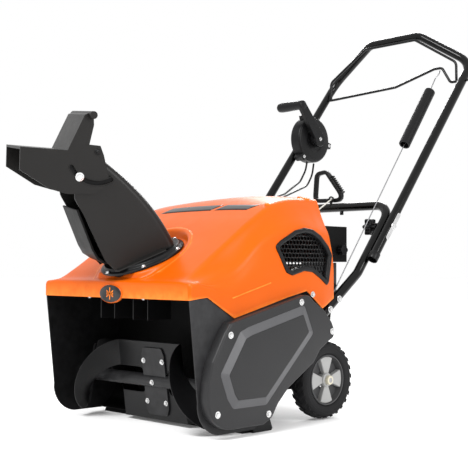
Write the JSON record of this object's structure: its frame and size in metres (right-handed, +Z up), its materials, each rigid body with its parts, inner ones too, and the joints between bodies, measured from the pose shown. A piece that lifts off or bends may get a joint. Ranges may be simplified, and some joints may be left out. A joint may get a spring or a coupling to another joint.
{
  "type": "snow blower",
  "caption": "Single-stage walk-behind snow blower with an enclosed auger, a turning discharge chute with tilting deflector, two wheels and a folding loop handle.",
  "frame": {"origin": "on the scraper bar's flat bottom face, in the centre plane, at ground level", "axes": "+X to the side with the belt cover (the user's right), +Y back towards the handle, -Y out of the auger opening, +Z up"},
  "size_m": [0.6081, 1.4199, 1.129],
  "materials": {
    "hood_orange": "gloss",
    "black_steel": "satin",
    "gloss_tube": "gloss",
    "cover_plastic": "satin",
    "black_plastic": "satin",
    "grey_plastic": "satin",
    "cream_plastic": "satin",
    "red_plastic": "gloss",
    "tyre_rubber": "matte",
    "paddle_rubber": "satin",
    "belt_rubber": "matte",
    "zinc": "satin",
    "bare_steel": "satin",
    "cast_alloy": "cast",
    "hot_steel": "matte",
    "rope": "woven"
  },
  "bodies": {
    "chassis": {"auger_housing": "black_steel", "left_side_plate": "black_steel", "right_side_plate": "black_steel", "scraper_bar": "black_plastic", "discharge_duct": "black_plastic", "hood": "hood_orange", "left_grille": "black_plastic", "right_grille": "black_plastic", "oval_badge": "black_plastic", "belt_cover": "cover_plastic", "cover_screws": "zinc", "skid_shoes": "black_plastic", "engine_frame": "black_steel", "axle": "bare_steel", "axle_caps": "cream_plastic", "auger_bearings": "bare_steel", "drive_belt": "belt_rubber", "idler_spring": "zinc", "engine_block": "cast_alloy", "recoil_housing": "black_plastic", "muffler": "hot_steel", "muffler_guard": "black_steel", "fuel_tank": "black_plastic", "control_box": "black_plastic", "lower_handle": "gloss_tube", "handle_bolts": "zinc", "clutch_cable": "zinc", "chute_cables": "black_plastic", "starter_rope": "rope"},
    "auger": {"auger_shaft": "bare_steel", "auger_hub": "black_steel", "upper_paddle": "paddle_rubber", "lower_paddle": "paddle_rubber", "paddle_bolts": "zinc", "auger_pulley": "bare_steel"},
    "engine_rotor": {"crankshaft": "bare_steel", "engine_pulley": "bare_steel"},
    "idler_lever": {"idler_arm": "bare_steel"},
    "idler_wheel": {"idler_pulley": "bare_steel"},
    "left_wheel": {"left_tyre": "tyre_rubber", "left_rim": "grey_plastic"},
    "right_wheel": {"right_tyre": "tyre_rubber", "right_rim": "grey_plastic"},
    "turning_chute": {"chute_ring": "black_plastic", "chute": "black_plastic", "chute_apron": "black_plastic", "chute_bolts": "zinc"},
    "chute_deflector": {"deflector": "black_plastic"},
    "folding_handle": {"upper_handle": "gloss_tube", "crank_housing": "black_plastic", "cable_sleeve": "black_plastic"},
    "bail_loop": {"bail": "gloss_tube"},
    "chute_crank": {"crank_arm": "black_plastic"},
    "left_star_knob": {"left_knob": "black_plastic"},
    "right_star_knob": {"right_knob": "black_plastic"},
    "choke": {"choke_knob": "black_plastic"},
    "primer": {"primer_bulb": "red_plastic"},
    "key": {"start_key": "red_plastic"},
    "tank_cap": {"fuel_cap": "black_plastic"},
    "pull_handle": {"starter_handle": "black_plastic"}
  },
  "joints": [
    {"name": "auger_spin", "type": "hinge", "parent": "chassis", "child": "auger", "pos_m": [0, -0.095, 0.106], "axis": [1, 0, 0], "continuous": true},
    {"name": "engine_spin", "type": "hinge", "parent": "chassis", "child": "engine_rotor", "pos_m": [0, 0.13, 0.245], "axis": [1, 0, 0], "continuous": true},
    {"name": "idler_engage", "type": "hinge", "parent": "chassis", "child": "idler_lever", "pos_m": [0.289, 0.06, 0.285], "axis": [1, 0, 0], "range_deg": [0, 1.5], "stiffness_Nm_per_rad": 2, "deforming": ["idler_spring"]},
    {"name": "idler_spin", "type": "hinge", "parent": "idler_lever", "child": "idler_wheel", "pos_m": [0.289, -0.0127, 0.2462], "axis": [1, 0, 0], "continuous": true},
    {"name": "left_wheel_spin", "type": "hinge", "parent": "chassis", "child": "left_wheel", "pos_m": [-0.234, 0.273, 0.1], "axis": [1, 0, 0], "continuous": true},
    {"name": "right_wheel_spin", "type": "hinge", "parent": "chassis", "child": "right_wheel", "pos_m": [0.234, 0.273, 0.1], "axis": [1, 0, 0], "continuous": true},
    {"name": "chute_rotate", "type": "hinge", "parent": "chassis", "child": "turning_chute", "pos_m": [0, -0.128, 0.409], "axis": [0, -0.4226, 0.9063], "range_deg": [-80, 120]},
    {"name": "deflector_tilt", "type": "hinge", "parent": "turning_chute", "child": "chute_deflector", "pos_m": [-0.01265, -0.28418, 0.66167], "axis": [0.9397, -0.31, -0.1445], "range_deg": [-30, 22]},
    {"name": "handle_fold", "type": "hinge", "parent": "chassis", "child": "folding_handle", "pos_m": [0, 0.517, 0.4995], "axis": [-1, 0, 0], "range_deg": [0, 85], "deforming": ["clutch_cable", "chute_cables"]},
    {"name": "bail_squeeze", "type": "hinge", "parent": "folding_handle", "child": "bail_loop", "pos_m": [0, 0.886, 0.9495], "axis": [-1, 0, 0], "range_deg": [0, 6], "stiffness_Nm_per_rad": 6, "deforming": ["clutch_cable"]},
    {"name": "crank_turn", "type": "hinge", "parent": "folding_handle", "child": "chute_crank", "pos_m": [-0.2, 0.765, 0.803], "axis": [1, 0, 0], "range_deg": [-60, 84]},
    {"name": "left_knob_turn", "type": "hinge", "parent": "chassis", "child": "left_star_knob", "pos_m": [-0.21, 0.517, 0.4995], "axis": [1, 0, 0], "continuous": true},
    {"name": "right_knob_turn", "type": "hinge", "parent": "chassis", "child": "right_star_knob", "pos_m": [0.21, 0.517, 0.4995], "axis": [1, 0, 0], "continuous": true},
    {"name": "choke_turn", "type": "hinge", "parent": "chassis", "child": "choke", "pos_m": [0.2, 0.388, 0.434], "axis": [1, 0, 0], "range_deg": [0, 90]},
    {"name": "primer_press", "type": "slide", "parent": "chassis", "child": "primer", "axis": [0, -1, 0], "range_m": [0, 0.007], "stiffness_N_per_m": 400},
    {"name": "key_pull", "type": "slide", "parent": "chassis", "child": "key", "axis": [0, 1, 0], "range_m": [0, 0.035]},
    {"name": "fuel_cap_turn", "type": "hinge", "parent": "chassis", "child": "tank_cap", "pos_m": [-0.138, 0.336, 0.514], "axis": [0, 0, 1], "range_deg": [0, 120]},
    {"name": "starter_pull", "type": "slide", "parent": "chassis", "child": "pull_handle", "axis": [0, 0.6267, 0.7793], "range_m": [0, 0.3], "stiffness_N_per_m": 40, "deforming": ["starter_rope"]}
  ],
  "couplings": [
    {"joint": "engine_spin", "follows": "auger_spin", "ratio": 2.3571},
    {"joint": "idler_spin", "follows": "auger_spin", "ratio": -3.6667},
    {"joint": "crank_turn", "follows": "chute_rotate", "ratio": 0.69},
    {"joint": "idler_engage", "follows": "bail_squeeze", "ratio": 0.25}
  ]
}
